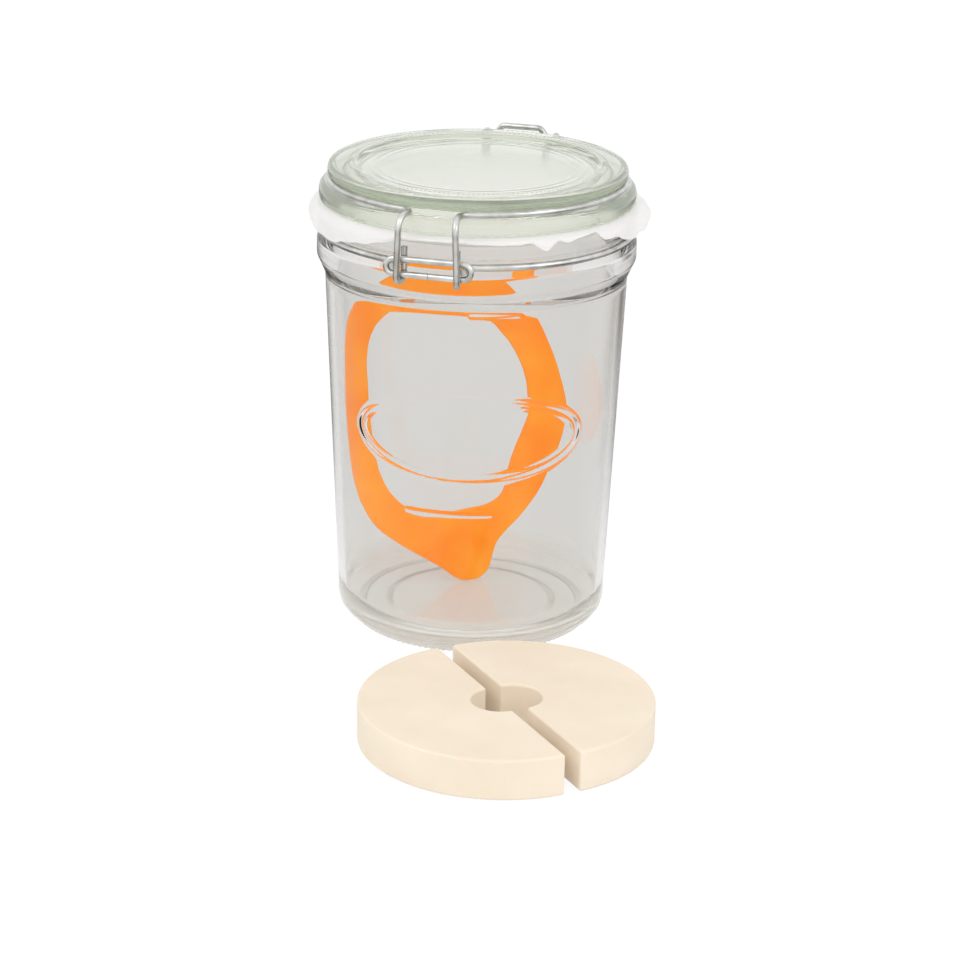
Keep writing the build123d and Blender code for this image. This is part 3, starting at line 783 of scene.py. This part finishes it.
torn_in = np.clip((round_deg - TORN_FROM) / TORN_FADE, 0, 1)
torn_out = np.clip((TORN_TO - round_deg) / TORN_FADE, 0, 1)
ragged = TORN_LEAST + (1 - TORN_LEAST) * torn_in * torn_out
every_column = np.zeros(SHEET_COLUMNS)
rows = []
for k in range(1, ROWS_MIDDLE + 1):
    share = k / ROWS_MIDDLE
    wrinkle = WRINKLE * (soft_fold + 0.5 * crease * math.sin(5 * k)) * math.sin(math.pi * share)
    rows.append((TUCK_R * share + every_column, TUCK_Z + wrinkle))
for k in range(1, ROWS_WALL + 1):
    share = k / ROWS_WALL
    wall_z = TUCK_Z + (SHEET_TOP_Z - TUCK_Z) * share
    rows.append((TUCK_R + WALL_FLARE * share + every_column, wall_z + every_column))
for k in range(1, ROWS_FLAT + 1):
    flat_r = TUCK_R + (SHEET_EDGE_R - TUCK_R) * k / ROWS_FLAT
    rows.append((flat_r + every_column, SHEET_TOP_Z + every_column))
flat_rows = len(rows)
for k in range(1, ROWS_HANG + 1):
    share = k / ROWS_HANG
    turned_in = TURN_IN * max(0.0, share - WIDEST_SHARE) / (1 - WIDEST_SHARE)
    belly = math.sin(math.pi / 2 * min(1.0, share / WIDEST_SHARE)) - turned_in
    folds = (0.5 * soft_fold + 0.9 * crease * ragged) * share
    out_r = SHEET_EDGE_R + (hem_r - SHEET_EDGE_R) * belly + folds
    hang = SHEET_TOP_Z + (hem_z + torn * ragged - SHEET_TOP_Z) * share**FALL
    rows.append((np.maximum(out_r, SHEET_EDGE_R + EDGE_SPARE), hang))
print("sheet rows:", len(rows))

# %% Cover sheet mesh
EAR_DEG = 162

points, quads = [(0.0, 0.0, TUCK_Z)], []
for r, z in rows:
    points += list(zip(r * np.sin(theta), -r * np.cos(theta), z))
for j in range(SHEET_COLUMNS):
    n = (j + 1) % SHEET_COLUMNS
    quads.append((0, 1 + j, 1 + n))
    # the hinge's ears stand behind the neck, so the sheet ends at the rim there
    at_ears = abs(round_deg[j]) > EAR_DEG
    for k in range(flat_rows - 1 if at_ears else len(rows) - 1):
        a, b = 1 + k * SHEET_COLUMNS, 1 + (k + 1) * SHEET_COLUMNS
        quads.append((a + j, b + j, b + n, a + n))
used = sorted({v for face in quads for v in face})
place = {v: i for i, v in enumerate(used)}
sheet_faces = [tuple(place[v] for v in face) for face in quads]
cover = mesh_object("cover_cloth", [points[v] for v in used], sheet_faces)
sheet_area = sum(face.area for face in cover.data.polygons)
print("sheet faces:", len(cover.data.polygons), "area", round(sheet_area * 1e4, 1), "cm2")

# %% [markdown]
# The sheet is matt and lets light through from behind, so it is part translucent and
# has a small clear share. Two bumps give it creases of about 5 mm and a fine texture,
# drawn at 0.45 mm so that it shows.

# %% Cover sheet finish
SHEET_CREASE, SHEET_CREASE_DEPTH = 5.0, 0.5
SHEET_TEXTURE, SHEET_TEXTURE_DEPTH = 0.45, 0.05
SHEET_THROUGH, SHEET_CLEAR = 0.4, 0.08


def thin_white_sheet():
    """A thin white sheet that lets light through."""
    material, tree = new_material("thin_white_sheeting")
    point = add_node(tree, "ShaderNodeTexCoord").outputs["Object"]
    creases = add_node(
        tree,
        "ShaderNodeTexNoise",
        {"Scale": 1 / (SHEET_CREASE * MM), "Detail": 5.0, "Roughness": 0.6},
        Vector=point,
    )
    bump = add_node(
        tree, "ShaderNodeBump", {"Strength": 0.5, "Distance": SHEET_CREASE_DEPTH * MM}, Height=creases
    )
    texture = add_node(
        tree, "ShaderNodeTexNoise", {"Scale": 1 / (SHEET_TEXTURE * MM), "Detail": 1.0}, Vector=point
    )
    fine = add_node(
        tree,
        "ShaderNodeBump",
        {"Strength": 0.3, "Distance": SHEET_TEXTURE_DEPTH * MM},
        Height=texture,
        Normal=bump,
    )
    front = add_node(
        tree,
        "ShaderNodeBsdfPrincipled",
        {"Base Color": hex_linear("#FDFDFE"), "Roughness": 0.8, "Sheen Weight": 0.1},
        Normal=fine,
    )
    through = add_node(tree, "ShaderNodeBsdfTranslucent", {"Color": hex_linear("#FEFEFF")}, Normal=fine)
    mix = add_node(tree, "ShaderNodeMixShader", {0: SHEET_THROUGH}, i1=front, i2=through)
    clear = add_node(tree, "ShaderNodeBsdfTransparent", {"Color": WHITE})
    sheer = add_node(tree, "ShaderNodeMixShader", {0: SHEET_CLEAR}, i1=mix, i2=clear)
    add_node(tree, "ShaderNodeOutputMaterial", None, Surface=sheer)
    return material


paint(cover, thin_white_sheet())
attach(cover, "jar")
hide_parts("cover_sheet", "sheet_wall", "sheet_middle")
print("cover sheet done")

# %% [markdown]
# ## Ceramic weights
# Stoneware cast in halves and covered with a thin cream glaze: matt to the eye, with a
# soft shine, faint clouds of colour and tiny specks. The weights keep the
# construction's own meshes, whose edges are already rounded.

# %% Ceramic finish
CLAY_TONES = ((0.3, hex_linear("#EADCC7")), (0.7, hex_linear("#F0E3D0")))
CLAY_CLOUD, CLAY_LUMP, CLAY_LUMP_DEPTH = 22.0, 2.2, 0.08
SPECK_APART = 3.5
SPECK = {"From Min": 0.05, "From Max": 0.09, "To Min": 0.12, "To Max": 0.0}
CLAY_DEEP = 1.5


def cream_stoneware():
    """Cream glazed stoneware with faint clouds and sparse specks."""
    material, tree = new_material("cream_glazed_stoneware")
    point = add_node(tree, "ShaderNodeTexCoord").outputs["Object"]
    cloud = add_node(
        tree, "ShaderNodeTexNoise", {"Scale": 1 / (CLAY_CLOUD * MM), "Detail": 4.0}, Vector=point
    )
    tone = add_node(tree, "ShaderNodeValToRGB", None, Fac=cloud)
    set_tones(tone, CLAY_TONES)
    cells = add_node(tree, "ShaderNodeTexVoronoi", {"Scale": 1 / (SPECK_APART * MM)}, Vector=point)
    specks = add_node(tree, "ShaderNodeMapRange", SPECK, Value=cells)
    shade = add_node(
        tree,
        "ShaderNodeMix",
        {"data_type": "RGBA", 7: hex_linear("#D9B98E")},
        i0=specks,
        i6=tone,
    )
    lumps = add_node(tree, "ShaderNodeTexNoise", {"Scale": 1 / (CLAY_LUMP * MM), "Detail": 3.0}, Vector=point)
    bump = add_node(
        tree, "ShaderNodeBump", {"Strength": 0.25, "Distance": CLAY_LUMP_DEPTH * MM}, Height=lumps
    )
    clay = add_node(
        tree,
        "ShaderNodeBsdfPrincipled",
        {
            "Roughness": 0.55,
            "IOR": 1.5,
            "Specular IOR Level": 0.4,
            "Subsurface Weight": 0.12,
            "Subsurface Scale": CLAY_DEEP * MM,
        },
        Base_Color=shade.outputs[2],
        Normal=bump,
    )
    add_node(tree, "ShaderNodeOutputMaterial", None, Surface=clay)
    return material


ceramic_finish = cream_stoneware()
for name in ("weight_left", "weight_right"):
    paint(nodes[name], ceramic_finish)
print("weights painted")

# %% [markdown]
# ## Floor and cards
# The floor and the surroundings are white, and two grey cards lie on the floor. The
# camera itself sees neither card. One shows only in reflections, as the dark lines along
# glass edges and wires, and the other only through the glass, as soft upright bands. A
# product photographer sets cards for the same reason: clear glass in a white room has
# no edges.

# %% Floor
FLOOR_HALF, FLOOR_DROP = 6000.0, 0.05
FLOOR_GLOW_SHARE, FLOOR_GLOW = 0.86, 1.04


def white_ground():
    """White where it is seen directly, in metal or through glass, and with a faint true shadow."""
    material, tree = new_material("white_ground")
    ray = add_node(tree, "ShaderNodeLightPath").outputs
    through = add_node(
        tree,
        "ShaderNodeMath",
        {"operation": "MAXIMUM"},
        i0=ray["Is Camera Ray"],
        i1=ray["Is Transmission Ray"],
    )
    seen = add_node(tree, "ShaderNodeMath", {"operation": "MAXIMUM"}, i0=through, i1=ray["Is Glossy Ray"])
    share = add_node(tree, "ShaderNodeMath", {"operation": "MULTIPLY", 1: FLOOR_GLOW_SHARE}, i0=seen)
    glow = add_node(tree, "ShaderNodeEmission", {"Color": WHITE, "Strength": FLOOR_GLOW})
    matt = add_node(tree, "ShaderNodeBsdfDiffuse", {"Color": hex_linear("#F4F4F4")})
    mix = add_node(tree, "ShaderNodeMixShader", None, i0=share, i1=matt, i2=glow)
    add_node(tree, "ShaderNodeOutputMaterial", None, Surface=mix)
    return material


corners = ((-1, -1), (1, -1), (1, 1), (-1, 1))
floor_points = [(x * FLOOR_HALF, y * FLOOR_HALF, -FLOOR_DROP) for x, y in corners]
ground = mesh_object("ground", floor_points, [(0, 1, 2, 3)])
paint(ground, white_ground())
print("floor", 2 * FLOOR_HALF * MM, "m wide")

# %% Card finish
# brightness by the share of a turn from the front, the same on both sides
MIRROR_TONES = (
    (0.0, 0.85), (0.14, 0.8), (0.18, 0.06), (0.27, 0.08), (0.3, 0.5),
    (0.34, 0.55), (0.37, 0.12), (0.46, 0.2), (0.5, 0.6),
)
STREAK_TONES = ((0.42, 1.0), (0.45, 0.35), (0.47, 0.4), (0.488, 1.0))
CARD_WARMTH = (1.0, 0.97, 0.92)
CARD_OUTER, CARD_FADE = 800.0, 150.0


def card_finish(name, tones, inner):
    """A glow whose tone changes with the angle round the jar and fades to white near its inner edge."""
    material, tree = new_material(name)
    point = add_node(tree, "ShaderNodeTexCoord").outputs["Object"]
    place = add_node(tree, "ShaderNodeSeparateXYZ", None, Vector=point)
    forward = add_node(tree, "ShaderNodeMath", {"operation": "MULTIPLY", 1: -1.0}, i0=place.outputs["Y"])
    sideways = add_node(tree, "ShaderNodeMath", {"operation": "ABSOLUTE"}, i0=place.outputs["X"])
    angle = add_node(tree, "ShaderNodeMath", {"operation": "ARCTAN2"}, i0=sideways, i1=forward)
    share = add_node(tree, "ShaderNodeMath", {"operation": "DIVIDE", 1: 2 * math.pi}, i0=angle)
    ramp = add_node(tree, "ShaderNodeValToRGB", None, Fac=share)
    set_tones(ramp, [(spot, tuple(tone * part for part in CARD_WARMTH) + (1,)) for spot, tone in tones])
    reach = add_node(tree, "ShaderNodeVectorMath", {"operation": "LENGTH"}, Vector=point)
    fade = {"From Min": inner * MM, "From Max": (inner + CARD_FADE) * MM}
    near = add_node(tree, "ShaderNodeMapRange", fade, Value=reach.outputs["Value"])
    blend = add_node(tree, "ShaderNodeMix", {"data_type": "RGBA", 6: WHITE}, i0=near, i7=ramp)
    glow = add_node(tree, "ShaderNodeEmission", {"Strength": 1.0}, Color=blend.outputs[2])
    add_node(tree, "ShaderNodeOutputMaterial", None, Surface=glow)
    return material


# %% Floor cards
CARD_STEP_DEG = 5


def floor_card(name, start_deg, end_deg, inner, height, tones):
    """A flat card on the floor, part of a ring round the jar, that only glass or metal can show."""
    steps = round((end_deg - start_deg) / CARD_STEP_DEG)
    rim = []
    for radius in (inner, CARD_OUTER):
        for k in range(steps + 1):
            angle = math.radians(start_deg + (end_deg - start_deg) * k / steps)
            rim.append((radius * math.cos(angle), radius * math.sin(angle), height))
    card = mesh_object(name, rim, [(k, k + 1, k + steps + 2, k + steps + 1) for k in range(steps)])
    paint(card, card_finish(name, tones, inner))
    card.visible_camera = False
    card.visible_diffuse = False
    card.visible_shadow = False
    return card


mirror_card = floor_card("mirror_card", 0, 360, inner=75.0, height=0.1, tones=MIRROR_TONES)
mirror_card.visible_transmission = False
streak_card = floor_card("streak_card", 62, 86, inner=240.0, height=0.2, tones=STREAK_TONES)
streak_card.visible_glossy = False
print("cards reach", CARD_OUTER, "mm out")

# %% [markdown]
# ## Light
# A white room lights everything evenly, and three broad soft lamps give the weights
# and the wires their shape: a key from the left, a fill from the right and a low one
# from the front. The room is a little dimmer for bounced light than it looks, so that
# the shadows keep some depth.

# %% World and lamps
ROOM_BOUNCED, ROOM_SEEN = 0.92, 1.0
LAMP_AIM = Vector((0, 0, 0.08))

world = bpy.data.worlds.new("white_room")
bpy.context.scene.world = world
world.use_nodes = True
sky = world.node_tree
sky.nodes.clear()
ray = add_node(sky, "ShaderNodeLightPath").outputs
through = add_node(
    sky, "ShaderNodeMath", {"operation": "MAXIMUM"}, i0=ray["Is Camera Ray"], i1=ray["Is Transmission Ray"]
)
direct = add_node(sky, "ShaderNodeMath", {"operation": "MAXIMUM"}, i0=through, i1=ray["Is Glossy Ray"])
room_level = add_node(
    sky, "ShaderNodeMapRange", {"To Min": ROOM_BOUNCED, "To Max": ROOM_SEEN}, Value=direct
)
room = add_node(sky, "ShaderNodeBackground", {"Color": WHITE}, Strength=room_level)
add_node(sky, "ShaderNodeOutputWorld", None, Surface=room)


def soft_lamp(name, at, size, power):
    """A square white area lamp that faces the jar, with its place and size in metres and power in watts."""
    lamp = bpy.data.lights.new(name, "AREA")
    lamp.shape = "SQUARE"
    lamp.size = size
    lamp.energy = power
    holder = bpy.data.objects.new(name, lamp)
    spot = Vector(at)
    facing = (LAMP_AIM - spot).to_track_quat("-Z", "Y").to_matrix().to_4x4()
    holder.matrix_world = Matrix.Translation(spot) @ facing
    bpy.context.scene.collection.objects.link(holder)


soft_lamp("key", (-0.7, -0.9, 1.3), size=0.9, power=4.8)
soft_lamp("fill", (1.1, -0.5, 0.9), size=0.8, power=3.0)
soft_lamp("front", (0.5, -2.6, 0.8), size=1.2, power=3.5)
bpy.context.scene.view_settings.view_transform = "Standard"
print("lamps:", len(bpy.data.lights))
